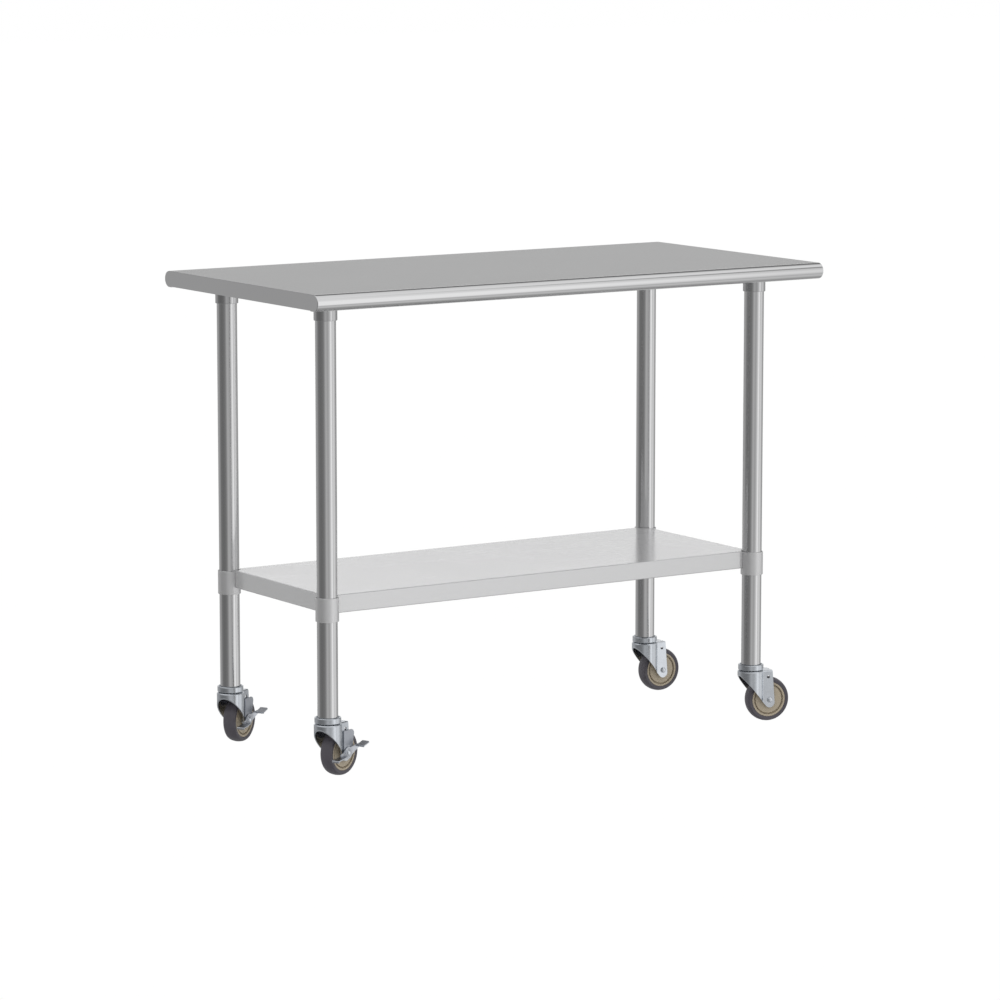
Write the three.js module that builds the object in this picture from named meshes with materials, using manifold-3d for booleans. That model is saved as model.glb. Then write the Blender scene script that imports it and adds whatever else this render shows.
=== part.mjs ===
// A stainless steel work table with an adjustable undershelf, standing on four swivel casters.
// The two left casters carry a foot brake.
//
// Millimetres, +Z up. X runs along the table to the right, Y from its front to its back.
// The origin is on the floor, under the middle of the worktop.
// Each caster is drawn in its own frame: the origin on the floor under the swivel axis, X along
// the trail (towards the wheel), Y along the axle, with the brake on the -Y side.

import * as THREE from "three";
import { mergeVertices } from "three/addons/utils/BufferGeometryUtils.js";
import Module from "manifold-3d";

const wasm = await Module();
wasm.setup();

// ---------------------------------------------------------------- driving dimensions

const sheet = 1.2; // folded stainless sheet
const channelSheet = 1.5; // stiffening channels
const fitGap = 0.3; // between pieces that touch on the real table
const lip = 12; // inward return along every folded edge

const topLength = 1219.2; // 48 in
const topDepth = 609.6; // 24 in
const topHeight = 977.9; // 38.5 in
const topEdge = 33; // height of the rolled and folded edges

const legSpacingX = 1041;
const legSpacingY = 391;
const legSetback = 11.5; // the legs stand this far behind the middle of the worktop
const legRadius = 20.65; // 1 5/8 in tube
const legWall = 1.2;
const legBottom = 123.8;
const legTop = 950;

const sleeveRadius = 23.4; // leg sockets and shelf collars
const sleeveBore = 21.1;
const socketBottom = 914.5;
const socketFlangeRadius = 32;
const socketPlate = 2; // closed end and welding flange of a socket

const channelLength = 1100;
const channelWeb = 70;
const channelFlange = 15;
const channelDepth = 22.5;

const shelfLength = 1037;
const shelfDepth = 388;
const shelfHeight = 366; // its top face
const shelfEdge = 36.4;
const shelfChannelLength = 940;
const shelfChannelDepth = 20;
const collarBottom = 316.2;
const collarTop = 364.5;

const screwRadius = 3.9;
const screwKey = 2.4; // hexagon recess
const screwProud = 2.2; // how far a set screw stands out of its sleeve
const socketScrewHeight = 930;
const collarScrewHeight = 326;

const wheelRadius = 47.2;
const tyreHalfWidth = 14;
const tyreShoulder = 42.3; // tread radius at the tyre's sides
const tyreBore = 37;
const trail = 36.2; // from the swivel axis to the axle
const rimRadius = tyreBore - fitGap;
const rimHalfWidth = 12.8;
const webHalfWidth = 11.6;
const grooveRadius = 31.2;
const bossRadius = 8.6;
const bossHalfWidth = 16.2;
const axleRadius = 4;

const headRadius = 26.7; // fixed upper race, under the leg
const headBottom = 112.2;
const headTop = 123.5;
const stemRadius = 18.8; // plug inside the leg
const stemTop = 187;
const kingPinRadius = 6;
const raceRadius = 20;
const ballRadius = 2.4;
const raceHeight = 111.3;

const forkRadius = 28; // round skirt under the race
const forkWall = 2.5;
const forkTop = 110.4;
const forkCrown = 3;
const forkSide = 19; // outer face of the flat side plates
const forkFrontEdge = 101.6; // where the skirt's open edge starts, at the front
const forkEdgeSag = 1; // how far that edge dips below a straight slant
const forkTipRadius = 11; // round end of a side plate, at the axle
const forkTipHeight = 41.6;
const forkBackTop = 42.4;

const brakePlateOuter = 21.8;
const pedalInner = 22.1;
const pedalThickness = 2.2;
const pedalReach = 45; // outer ends of the two foot tabs
const pedalClearance = forkRadius + 0.4; // the pedal passes outside the round skirt
const eyeRadius = 12;

const tubeSides = 24;
const wheelSides = 24;
const stemSides = 20;
const smallSides = 12;

const corners = [
  { name: "front_left", side: -1, end: -1, trailAngle: 22.2, brake: true },
  { name: "rear_left", side: -1, end: 1, trailAngle: 31.3, brake: true },
  { name: "front_right", side: 1, end: -1, trailAngle: -14.4, brake: false },
  { name: "rear_right", side: 1, end: 1, trailAngle: -2.5, brake: false },
];

// ---------------------------------------------------------------- materials

const finishes = {
  worktopSteel: { color: 0xb4b5b6, roughness: 0.34, metalness: 1 },
  tubeSteel: { color: 0xb8b9ba, roughness: 0.24, metalness: 1 },
  satinSteel: { color: 0xb0b1b2, roughness: 0.42, metalness: 1 },
  channelSteel: { color: 0xa3a6a9, roughness: 0.5, metalness: 1 },
  zincPlate: { color: 0xa9afb6, roughness: 0.38, metalness: 1 },
  fastenerSteel: { color: 0xb9bec6, roughness: 0.3, metalness: 1 },
  tyreRubber: { color: 0x45434a, roughness: 0.62, metalness: 0 },
  hubPlastic: { color: 0xa79c89, roughness: 0.5, metalness: 0 },
};

// ---------------------------------------------------------------- making solids

const axisX = new THREE.Vector3(1, 0, 0);
const axisY = new THREE.Vector3(0, 1, 0);
const axisZ = new THREE.Vector3(0, 0, 1);

// The closed solid that a geometry's faces bound.
function solid(geometry) {
  geometry.deleteAttribute("normal");
  geometry.deleteAttribute("uv");
  const merged = mergeVertices(geometry, 1e-3);
  const mesh = new wasm.Mesh({
    numProp: 3,
    vertProperties: merged.attributes.position.array,
    triVerts: new Uint32Array(merged.index.array),
  });
  return new wasm.Manifold(mesh);
}

// An outline made thick along one axis, from low to high.
// The outline's own two axes are (y, z) for "x", (x, z) for "y" and (x, y) for "z".
function prism(outline, axis, low, high, curveSegments = 10) {
  const geometry = new THREE.ExtrudeGeometry(outline, {
    depth: high - low,
    bevelEnabled: false,
    curveSegments,
  });
  if (axis === "x") {
    geometry.applyMatrix4(new THREE.Matrix4().makeBasis(axisY, axisZ, axisX));
    geometry.translate(low, 0, 0);
  } else if (axis === "y") {
    const back = axisY.clone().negate();
    geometry.applyMatrix4(new THREE.Matrix4().makeBasis(axisX, axisZ, back));
    geometry.translate(0, high, 0);
  } else {
    geometry.translate(0, 0, low);
  }
  return solid(geometry);
}

// A profile of [radius, height] points turned about the Z or the Y axis.
function turned(profile, axis = "z", sides = tubeSides) {
  const points = profile.map(([radius, height]) => new THREE.Vector2(radius, height));
  const geometry = new THREE.LatheGeometry(points, sides);
  if (axis === "z") geometry.rotateX(Math.PI / 2);
  return solid(geometry);
}

// A plain round bar along the Z or the Y axis.
function bar(radius, low, high, axis = "z", sides = smallSides) {
  const profile = [[0, low], [radius, low], [radius, high], [0, high]];
  return turned(profile, axis, sides);
}

// A plain ring along the Z or the Y axis.
function ring(inner, outer, low, high, axis = "z", sides = tubeSides) {
  const profile = [[inner, low], [outer, low], [outer, high], [inner, high], [inner, low]];
  return turned(profile, axis, sides);
}

function block(x0, x1, y0, y1, z0, z1) {
  const geometry = new THREE.BoxGeometry(x1 - x0, y1 - y0, z1 - z0);
  geometry.translate((x0 + x1) / 2, (y0 + y1) / 2, (z0 + z1) / 2);
  return solid(geometry);
}

function polygon(points) {
  return new THREE.Shape(points.map(([u, v]) => new THREE.Vector2(u, v)));
}

// Adds one named piece to a group.
function addPiece(group, name, shape, finish) {
  const { vertProperties, triVerts } = shape.getMesh();
  const geometry = new THREE.BufferGeometry();
  geometry.setAttribute("position", new THREE.BufferAttribute(vertProperties, 3));
  geometry.setIndex(new THREE.BufferAttribute(triVerts, 1));
  geometry.computeVertexNormals();
  const mesh = new THREE.Mesh(geometry, new THREE.MeshStandardMaterial(finishes[finish]));
  mesh.name = name;
  group.add(mesh);
}

// ---------------------------------------------------------------- worktop and channels

// The worktop's section across its depth: flat faces between two half-round long edges.
function topSection(inset) {
  const radius = topEdge / 2 - inset;
  const centre = topDepth / 2 - topEdge / 2;
  const middle = topHeight - topEdge / 2;
  const section = new THREE.Shape();
  section.absarc(centre, middle, radius, -Math.PI / 2, Math.PI / 2, false);
  section.absarc(-centre, middle, radius, Math.PI / 2, (3 * Math.PI) / 2, false);
  return section;
}

// A folded pan: rolled long edges, straight ends and a lip all round its open underside.
function worktop() {
  const half = topLength / 2;
  const openingX = half - lip;
  const openingY = topDepth / 2 - topEdge / 2 - lip;
  const bottom = topHeight - topEdge;
  const body = prism(topSection(0), "x", -half, half);
  const hollow = prism(topSection(sheet), "x", sheet - half, half - sheet, 8);
  const mouth = block(-openingX, openingX, -openingY, openingY, bottom - 1, bottom + topEdge / 2);
  return body.subtract(hollow).subtract(mouth);
}

// A hat-shaped channel along X, with its flanges at the top.
function hatChannel(length, web, depth, flange, centreY, flangeTop) {
  const inner = web / 2;
  const outer = inner + flange;
  const wall = channelSheet;
  const right = [
    [inner, -depth],
    [inner, -wall],
    [outer, -wall],
    [outer, 0],
    [inner - wall, 0],
    [inner - wall, wall - depth],
  ];
  const left = right.map(([y, z]) => [-y, z]).reverse();
  const outline = [...right, ...left].map(([y, z]) => [centreY + y, flangeTop + z]);
  return prism(polygon(outline), "x", -length / 2, length / 2);
}

// ---------------------------------------------------------------- legs, sockets and shelf

function legTube() {
  return ring(legRadius - legWall, legRadius, legBottom, legTop);
}

// The hole that a set screw passes through, from the sleeve's bore outwards along +Y.
function screwHole(height) {
  const hole = bar(screwRadius + fitGap, 0, sleeveRadius + 5, "y");
  return hole.translate([0, 0, height]);
}

// A cup welded under a channel: the leg's top end stands in it.
function legSocket() {
  const plateTop = legTop + fitGap + socketPlate;
  const profile = [
    [0, plateTop - socketPlate],
    [sleeveBore, plateTop - socketPlate],
    [sleeveBore, socketBottom],
    [sleeveRadius, socketBottom],
    [sleeveRadius, plateTop - socketPlate],
    [socketFlangeRadius, plateTop - socketPlate],
    [socketFlangeRadius, plateTop],
    [0, plateTop],
  ];
  return turned(profile).subtract(screwHole(socketScrewHeight));
}

function shelfCollar() {
  const sleeve = ring(sleeveBore, sleeveRadius, collarBottom, collarTop);
  return sleeve.subtract(screwHole(collarScrewHeight));
}

// A headless screw with a hexagon recess, pressing on the leg from behind.
function setScrew(height) {
  const tip = legRadius + fitGap;
  const end = sleeveRadius + screwProud;
  const key = bar(screwKey, end - 2, end + 1, "y", 6);
  return bar(screwRadius, tip, end, "y").subtract(key).translate([0, 0, height]);
}

// A folded pan with its four corners cut back round the collars.
function shelf() {
  const halfX = shelfLength / 2;
  const halfY = shelfDepth / 2;
  const bottom = shelfHeight - shelfEdge;
  const mouthX = halfX - lip;
  const mouthY = halfY - lip;
  let pan = block(-halfX, halfX, -halfY, halfY, bottom, shelfHeight);
  pan = pan.subtract(
    block(sheet - halfX, halfX - sheet, sheet - halfY, halfY - sheet, bottom + sheet,
      shelfHeight - sheet),
  );
  pan = pan.subtract(block(-mouthX, mouthX, -mouthY, mouthY, bottom - 1, bottom + shelfEdge / 2));
  for (const { side, end } of corners) {
    const notch = bar(sleeveRadius + fitGap, bottom - 1, shelfHeight + 1, "z", tubeSides);
    pan = pan.subtract(notch.translate([(side * legSpacingX) / 2, (end * legSpacingY) / 2, 0]));
  }
  return pan.translate([0, legSetback, 0]);
}

// ---------------------------------------------------------------- casters

// The plug in the leg, the fixed upper race below it and the king pin that holds the fork.
function casterStem() {
  const grooveHalf = ballRadius + 1.1;
  const pinHeadRadius = 9;
  const pinHeadTop = forkTop - forkCrown - fitGap;
  const profile = [
    [0, pinHeadTop - 4],
    [pinHeadRadius, pinHeadTop - 4],
    [pinHeadRadius, pinHeadTop],
    [kingPinRadius, pinHeadTop],
    [kingPinRadius, headBottom],
    [raceRadius - grooveHalf, headBottom],
    [raceRadius - 2, raceHeight + ballRadius + fitGap],
    [raceRadius + 2, raceHeight + ballRadius + fitGap],
    [raceRadius + grooveHalf, headBottom],
    [headRadius, headBottom],
    [headRadius, headTop - 1.2],
    [headRadius - 1.2, headTop],
    [stemRadius, headTop],
    [stemRadius, stemTop - 3],
    [stemRadius - 2, stemTop],
    [0, stemTop],
  ];
  return turned(profile, "z", stemSides);
}

// The ring of balls between the two races.
function ballRing() {
  const points = [];
  const sides = 6;
  for (let i = 0; i <= sides; i += 1) {
    const angle = (i % sides) * ((2 * Math.PI) / sides);
    points.push([raceRadius + ballRadius * Math.cos(angle), raceHeight + ballRadius * Math.sin(angle)]);
  }
  return turned(points, "z", 16);
}

// The fork from the side: a round tip at the axle, a slanting open front edge and a straight back.
function forkSideView() {
  const tipStart = new THREE.Vector2(
    trail + forkTipRadius * Math.cos((5 * Math.PI) / 4),
    forkTipHeight + forkTipRadius * Math.sin((5 * Math.PI) / 4),
  );
  const front = -forkRadius - 0.5;
  const view = new THREE.Shape();
  view.moveTo(forkBackTop, forkTop + 1);
  view.lineTo(front, forkTop + 1);
  view.lineTo(front, forkFrontEdge);
  view.quadraticCurveTo(
    (front + tipStart.x) / 2,
    (forkFrontEdge + tipStart.y) / 2 - 2 * forkEdgeSag,
    tipStart.x,
    tipStart.y,
  );
  view.absarc(trail, forkTipHeight, forkTipRadius, (5 * Math.PI) / 4, 2 * Math.PI, false);
  return view;
}

// The fork from above: a disc for the race joined to a straight body over the wheel.
function forkPlan(inset, back) {
  const radius = forkRadius - inset;
  const halfWidth = forkSide - inset;
  const meet = Math.asin(halfWidth / radius);
  const plan = new THREE.Shape();
  plan.moveTo(back, -halfWidth);
  plan.lineTo(back, halfWidth);
  plan.absarc(0, 0, radius, meet, 2 * Math.PI - meet, false);
  return plan;
}

// One pressing: crown, round skirt and two flat side plates.
function fork() {
  const outside = prism(forkPlan(0, trail + forkTipRadius + 1), "z", 0, forkTop, 14);
  const inside = prism(forkPlan(forkWall, trail + 3 * forkTipRadius), "z", -1, forkTop - forkCrown, 14);
  const reach = forkRadius + 1;
  const sideView = prism(forkSideView(), "y", -reach, reach, 6);
  const raceCut = turned([
    [raceRadius - 2, raceHeight - ballRadius - fitGap],
    [raceRadius + 2, raceHeight - ballRadius - fitGap],
    [raceRadius + ballRadius + 1.1, forkTop + 1],
    [raceRadius - ballRadius - 1.1, forkTop + 1],
    [raceRadius - 2, raceHeight - ballRadius - fitGap],
  ], "z", 16);
  const sightHole = bar(3, -forkRadius, forkRadius, "y", 8).translate([trail - 3.5, 0, 96]);
  return outside
    .subtract(inside)
    .intersect(sideView)
    .subtract(raceCut)
    .subtract(bar(kingPinRadius + fitGap, 0, forkTop + 1, "z", 16))
    .subtract(axleHole(forkSide + 1))
    .subtract(sightHole);
}

// A clearance hole for the axle bolt through everything on both sides of the wheel.
function axleHole(reach) {
  return bar(axleRadius + fitGap, -reach, reach, "y").translate([trail, 0, wheelRadius]);
}

// The wheel's plastic core: rim, web with a ring groove, and the boss that turns on the axle.
function hub() {
  const half = [
    [axleRadius + fitGap, bossHalfWidth],
    [bossRadius, bossHalfWidth],
    [bossRadius, webHalfWidth],
    [grooveRadius - 1, webHalfWidth],
    [grooveRadius, webHalfWidth - 1.4],
    [grooveRadius + 1, rimHalfWidth],
    [rimRadius, rimHalfWidth],
  ];
  const mirrored = half.map(([radius, y]) => [radius, -y]);
  const profile = [...mirrored, ...half.reverse(), mirrored[0]];
  return turned(profile, "y", wheelSides).translate([trail, 0, wheelRadius]);
}

// The tyre: a crowned tread with rounded shoulders, moulded round the rim.
function tyre() {
  const drop = wheelRadius - tyreShoulder;
  const profile = [[tyreBore, -rimHalfWidth]];
  const steps = 6;
  for (let i = 0; i <= steps; i += 1) {
    const angle = (i / steps - 0.5) * Math.PI;
    const radius = tyreShoulder + drop * Math.cos(angle);
    profile.push([radius, tyreHalfWidth * Math.sin(angle)]);
  }
  profile.push([tyreBore, rimHalfWidth]);
  profile.push(profile[0]);
  return turned(profile, "y", wheelSides).translate([trail, 0, wheelRadius]);
}

// The axle bolt, its head on the -Y side against whatever the caster carries there.
function axleBolt(headSeat) {
  const headHeight = 4;
  const headRadiusOuter = 6.3;
  const profile = [
    [0, -headSeat - headHeight],
    [headRadiusOuter - 2, -headSeat - headHeight],
    [headRadiusOuter, -headSeat - headHeight + 1.6],
    [headRadiusOuter, -headSeat],
    [axleRadius, -headSeat],
    [axleRadius, forkSide + 8],
    [0, forkSide + 8],
  ];
  return turned(profile, "y", smallSides).translate([trail, 0, wheelRadius]);
}

function axleNut() {
  const seat = forkSide + fitGap;
  const nut = bar(7, seat, seat + 6, "y", 6).translate([trail, 0, wheelRadius]);
  return nut.subtract(axleHole(forkRadius));
}

// ---------------------------------------------------------------- foot brake

// The cover plate on the fork's -Y side, under the pedal.
function brakePlate() {
  const outline = new THREE.Shape();
  const left = trail - 11.5;
  const right = 58;
  outline.moveTo(left, wheelRadius);
  outline.lineTo(left, 93);
  outline.lineTo(right - 9, 93);
  outline.absarc(right - 9, 84, 9, Math.PI / 2, 0, true);
  outline.lineTo(trail + 17, 62);
  outline.lineTo(trail + 11.5, wheelRadius);
  outline.absarc(trail, wheelRadius, 11.5, 0, -Math.PI, true);
  const plate = prism(outline, "y", -brakePlateOuter, -forkSide - fitGap, 5);
  return plate.subtract(axleHole(forkRadius));
}

// The pedal's web from above: a bent strip that passes outside the fork's round skirt.
function pedalStrip() {
  const inner = [
    [80, -pedalClearance],
    [trail + eyeRadius, -pedalInner],
    [trail - 8, -pedalInner],
    [8, -pedalClearance],
    [0, -pedalClearance],
  ];
  const outer = inner.map(([x, y]) => [x, y - pedalThickness]).reverse();
  return prism(polygon([...inner, ...outer]), "z", 0, forkTop);
}

// The pedal's web from the side: an eye round the axle between the roots of the two foot tabs.
function pedalWeb() {
  const web = new THREE.Shape();
  web.moveTo(trail - 9, wheelRadius + 8);
  web.lineTo(2, 49.5);
  web.lineTo(2, 42);
  web.absarc(trail, wheelRadius, eyeRadius, (7 * Math.PI) / 6, (11 * Math.PI) / 6, false);
  web.lineTo(59, 50);
  web.lineTo(79, 65.5);
  web.lineTo(59, 61);
  web.absarc(trail, wheelRadius, eyeRadius, Math.PI / 3, (3 * Math.PI) / 4, false);
  return prism(web, "y", -forkRadius - 10, 0, 5);
}

// A foot tab: a strip rising from its front to its back, standing out to the -Y side.
// Its front edge is turned down by the height of a small lip.
function footTab(front, back, lipHeight, inner) {
  const outline = polygon([
    [front[0], front[1] - lipHeight],
    [front[0] + pedalThickness, front[1] - lipHeight],
    [front[0] + pedalThickness, front[1] - pedalThickness],
    [back[0], back[1] - pedalThickness],
    back,
    front,
  ]);
  return prism(outline, "y", -pedalReach, -inner);
}

function brakePedal() {
  const onTab = footTab([58.5, 60.2], [79, 66.3], 3, pedalClearance - 1.5);
  const offTab = footTab([-25, 42.8], [8, 47.4], 4.5, pedalClearance);
  return pedalStrip()
    .intersect(pedalWeb())
    .add(onTab)
    .add(offTab)
    .subtract(axleHole(forkRadius + 10));
}

// The friction ring that the pedal pushes along the axle, towards the wheel.
function brakeShoe() {
  const outer = forkSide - forkWall - fitGap;
  const shoe = ring(bossRadius + 0.6, 17, -outer, 1.2 - outer, "y", 20);
  return shoe.translate([trail, 0, wheelRadius]);
}

// ---------------------------------------------------------------- assembly

function addTopFrame(table) {
  addPiece(table, "worktop", worktop(), "worktopSteel");
  const flangeTop = topHeight - sheet - fitGap;
  for (const [name, end] of [["front", -1], ["rear", 1]]) {
    const centreY = legSetback + (end * legSpacingY) / 2;
    const channel = hatChannel(channelLength, channelWeb, channelDepth, channelFlange, centreY, flangeTop);
    addPiece(table, "top_channel_" + name, channel, "channelSteel");
  }
}

function addShelf(table) {
  addPiece(table, "shelf", shelf(), "worktopSteel");
  const flangeTop = shelfHeight - sheet - fitGap;
  const channel = hatChannel(
    shelfChannelLength, channelWeb, shelfChannelDepth, channelFlange, legSetback, flangeTop,
  );
  addPiece(table, "shelf_channel", channel, "channelSteel");
}

function addLeg(table, corner) {
  const post = new THREE.Group();
  post.position.set((corner.side * legSpacingX) / 2, legSetback + (corner.end * legSpacingY) / 2, 0);
  addPiece(post, "leg_" + corner.name, legTube(), "tubeSteel");
  addPiece(post, "leg_socket_" + corner.name, legSocket(), "satinSteel");
  addPiece(post, "socket_screw_" + corner.name, setScrew(socketScrewHeight), "fastenerSteel");
  addPiece(post, "shelf_collar_" + corner.name, shelfCollar(), "satinSteel");
  addPiece(post, "collar_screw_" + corner.name, setScrew(collarScrewHeight), "fastenerSteel");
  post.add(caster(corner));
  table.add(post);
}

function caster(corner) {
  const unit = new THREE.Group();
  unit.rotation.z = THREE.MathUtils.degToRad(corner.trailAngle);
  const headSeat = corner.brake ? pedalInner + pedalThickness : forkSide;
  addPiece(unit, "caster_stem_" + corner.name, casterStem(), "zincPlate");
  addPiece(unit, "swivel_bearing_" + corner.name, ballRing(), "fastenerSteel");
  addPiece(unit, "caster_fork_" + corner.name, fork(), "zincPlate");
  addPiece(unit, "wheel_hub_" + corner.name, hub(), "hubPlastic");
  addPiece(unit, "tyre_" + corner.name, tyre(), "tyreRubber");
  addPiece(unit, "axle_bolt_" + corner.name, axleBolt(headSeat + fitGap), "fastenerSteel");
  addPiece(unit, "axle_nut_" + corner.name, axleNut(), "fastenerSteel");
  if (corner.brake) {
    addPiece(unit, "brake_plate_" + corner.name, brakePlate(), "zincPlate");
    addPiece(unit, "brake_pedal_" + corner.name, brakePedal(), "zincPlate");
    addPiece(unit, "brake_shoe_" + corner.name, brakeShoe(), "fastenerSteel");
  }
  return unit;
}

const table = new THREE.Group();
addTopFrame(table);
addShelf(table);
corners.forEach((corner) => addLeg(table, corner));

export default table;
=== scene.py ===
import math

import bmesh
import bpy
from mathutils import Matrix, Vector


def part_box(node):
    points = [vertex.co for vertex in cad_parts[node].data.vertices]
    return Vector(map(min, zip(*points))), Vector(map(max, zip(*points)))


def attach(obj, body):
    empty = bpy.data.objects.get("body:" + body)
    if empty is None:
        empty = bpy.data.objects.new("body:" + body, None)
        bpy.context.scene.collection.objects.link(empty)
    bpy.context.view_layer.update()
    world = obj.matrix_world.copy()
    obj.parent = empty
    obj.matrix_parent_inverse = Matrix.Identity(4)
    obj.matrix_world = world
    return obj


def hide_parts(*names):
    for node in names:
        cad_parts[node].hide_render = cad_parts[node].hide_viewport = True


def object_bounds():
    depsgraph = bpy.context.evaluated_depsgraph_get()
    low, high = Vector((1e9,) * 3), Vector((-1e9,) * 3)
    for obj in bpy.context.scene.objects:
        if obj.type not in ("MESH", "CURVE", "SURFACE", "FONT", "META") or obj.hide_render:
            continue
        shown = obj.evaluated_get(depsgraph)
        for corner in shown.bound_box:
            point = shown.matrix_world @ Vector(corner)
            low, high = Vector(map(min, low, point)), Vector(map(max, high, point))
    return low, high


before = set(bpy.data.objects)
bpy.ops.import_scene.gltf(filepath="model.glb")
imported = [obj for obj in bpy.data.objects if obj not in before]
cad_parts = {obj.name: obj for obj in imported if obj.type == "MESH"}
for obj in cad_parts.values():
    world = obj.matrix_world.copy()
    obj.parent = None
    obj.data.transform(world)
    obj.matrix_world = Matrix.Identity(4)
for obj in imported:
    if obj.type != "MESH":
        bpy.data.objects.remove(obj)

# A stainless work table on four swivel casters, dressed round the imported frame. Metres, +Z up.
# Each caster is built in its own frame: the origin on the floor under the swivel axis, X along the
# trail (towards the wheel), Y along the axle, with the foot brake on the -Y side.

CAD_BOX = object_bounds()
MM = 0.001

# -------- sizes

FIT_GAP = 0.3 * MM  # between pieces that would touch
ROUND_SIDES = 96  # points round a tube, a collar or a wheel
SMALL_SIDES = 40  # points round a screw or a bolt

TOP_SHEET = 1.2 * MM
LIP = 12 * MM  # inward return along the folded edges
FOLD = 2.2 * MM  # outer radius of the shelf's folds
CAP_FOLD = 1.4 * MM  # outer radius where the top meets its flat ends
CHANNEL_SHEET = 1.5 * MM
CHANNEL_RIM = 15 * MM  # width of a hat channel's rims

LEG_WALL = 1.2 * MM
SOCKET_BORE = 21.1 * MM  # radius
SOCKET_OUTER = 23.4 * MM  # radius
SOCKET_PLATE = 2 * MM  # the socket's closed end and its flange
COLLAR_WALL = 2.3 * MM
SCREW_HOLE = 4.1 * MM  # radius

PLUG_RADIUS = 18.8 * MM  # the caster's plug, inside the leg
PIN_RADIUS = 6 * MM  # the king pin
PIN_HEAD = 9 * MM  # radius
RACE_FLOOR = 2 * MM  # half the width of a ball race's groove at its bottom
RACE_FLARE = 0.8 * MM  # how much wider than the balls the groove is at its mouth
BALLS = 20
FORK_WALL = 2.5 * MM
FORK_CROWN = 3 * MM
FORK_BEND = 3.6 * MM  # outer radius between crown and wall
AXLE_HOLE = 4.3 * MM  # radius
HUB_BOSS = 8.6 * MM  # radius
HUB_GROOVE = 31.2 * MM  # radius of the ring groove
GROOVE_DEPTH = 4.6 * MM
RIM_HALF = 12.8 * MM  # half the width of the hub's rim
TYRE_BORE = 37 * MM  # radius
TREAD_SHOULDER = 42.3 * MM  # radius where the side walls start to round over
NUT_APOTHEM = 6 * MM

PEDAL_SHEET = 2.2 * MM
PEDAL_CLEARANCE = 0.4 * MM  # between the pedal and the fork's skirt
PEDAL_EYE = 12 * MM  # radius
OFF_TAB = [(-25 * MM, 42.8 * MM), (8 * MM, 47.4 * MM)]  # its face's front and back, (x, z)
OFF_LIP = 4.5 * MM  # how far the tab's front edge turns down
ON_TAB = [(58.5 * MM, 60.2 * MM), (79 * MM, 66.3 * MM)]
ON_LIP = 3 * MM
TAB_CORNER = 4 * MM

CORNERS = ("front_left", "rear_left", "front_right", "rear_right")
BRAKED = ("front_left", "rear_left")


# -------- outlines

def arc(centre, radius, start, end, steps):
    """Points on a circle, from one angle to another in degrees, both ends included."""
    points = []
    for i in range(steps + 1):
        angle = math.radians(start + (end - start) * i / steps)
        points.append((centre[0] + radius * math.cos(angle), centre[1] + radius * math.sin(angle)))
    return points


def quarter(steps):
    """Angles from 0 to a right angle in even steps, both ends included."""
    return [math.pi / 2 * k / steps for k in range(steps + 1)]


def rounded(points, radii, steps=5, closed=False):
    """A polyline with each inner corner replaced by an arc, with one radius for each point."""
    count = len(points)
    made = []
    for i, point in enumerate(points):
        if radii[i] <= 0 or (not closed and i in (0, count - 1)):
            made.append(tuple(point))
            continue
        here = Vector(point)
        before = Vector(points[i - 1]) - here
        after = Vector(points[(i + 1) % count]) - here
        half_angle = before.angle(after) / 2
        reach = min(radii[i] / math.tan(half_angle), 0.49 * before.length, 0.49 * after.length)
        before.normalize()
        after.normalize()
        middle = here + (before + after).normalized() * (reach / math.cos(half_angle))
        first = here + before * reach - middle
        turn = first.angle_signed(here + after * reach - middle)
        for k in range(steps + 1):
            made.append(tuple(middle + Matrix.Rotation(-turn * k / steps, 2) @ first))
    return made


def eased(profile, steps=5, closed=False):
    """An outline given as (u, v, corner radius in millimetres), with its corners rounded."""
    points = [(u, v) for u, v, _ in profile]
    return rounded(points, [ease * MM for _, _, ease in profile], steps, closed)


def disc(centre, radius):
    return arc(centre, radius, 0, 360, SMALL_SIDES)[:-1]


def offset_outline(outline, inset):
    """A closed outline moved inwards by a small distance."""
    area = sum(a[0] * b[1] - b[0] * a[1] for a, b in zip(outline, outline[1:] + outline[:1]))
    side = 1 if area > 0 else -1
    made = []
    for i, point in enumerate(outline):
        before = Vector(point) - Vector(outline[i - 1])
        after = Vector(outline[(i + 1) % len(outline)]) - Vector(point)
        normal = Vector((0, 0))
        for edge in (before, after):
            if edge.length > 1e-9:
                normal += Vector((-edge.y, edge.x)).normalized() * side
        reach = inset * 2 / normal.length_squared if normal.length > 1e-6 else 0
        made.append(tuple(Vector(point) + normal * reach))
    return made


def inset_path(points, inset):
    """An open path moved sideways, to the right of its direction."""
    moved = []
    for i, point in enumerate(points):
        ahead = points[min(i + 1, len(points) - 1)] - points[max(i - 1, 0)]
        moved.append(point + Vector((ahead.y, -ahead.x)).normalized() * inset)
    return moved


def thread(radius, start, end, pitch=0.8 * MM, depth=0.35 * MM):
    """The profile of a thread as plain ridges: (radius, height) points."""
    profile = []
    for i in range(int((end - start) / pitch)):
        profile += [(radius - depth, start + i * pitch), (radius, start + (i + 0.5) * pitch)]
    return profile


def tube_profile(inner, outer, low, high, edge):
    """A tube's wall in section, with its four rims eased."""
    wall = [(inner, low), (outer, low), (outer, high), (inner, high)]
    return rounded(wall, [edge] * 4, 3, closed=True)


def circle_loop(radius, height):
    """A ring of 3-D points round the Z axis."""
    return [(x, y, height) for x, y in disc((0, 0), radius)]


def hexagon_loop(apothem, height):
    """The same number of points round a hexagon, so that it joins a ring with plain quads."""
    loop = []
    for i in range(SMALL_SIDES):
        angle = i * 2 * math.pi / SMALL_SIDES
        side = math.radians(60) * round(angle / math.radians(60))
        radius = apothem / math.cos(angle - side)
        loop.append((radius * math.cos(angle), radius * math.sin(angle), height))
    return loop


# -------- meshes

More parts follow.
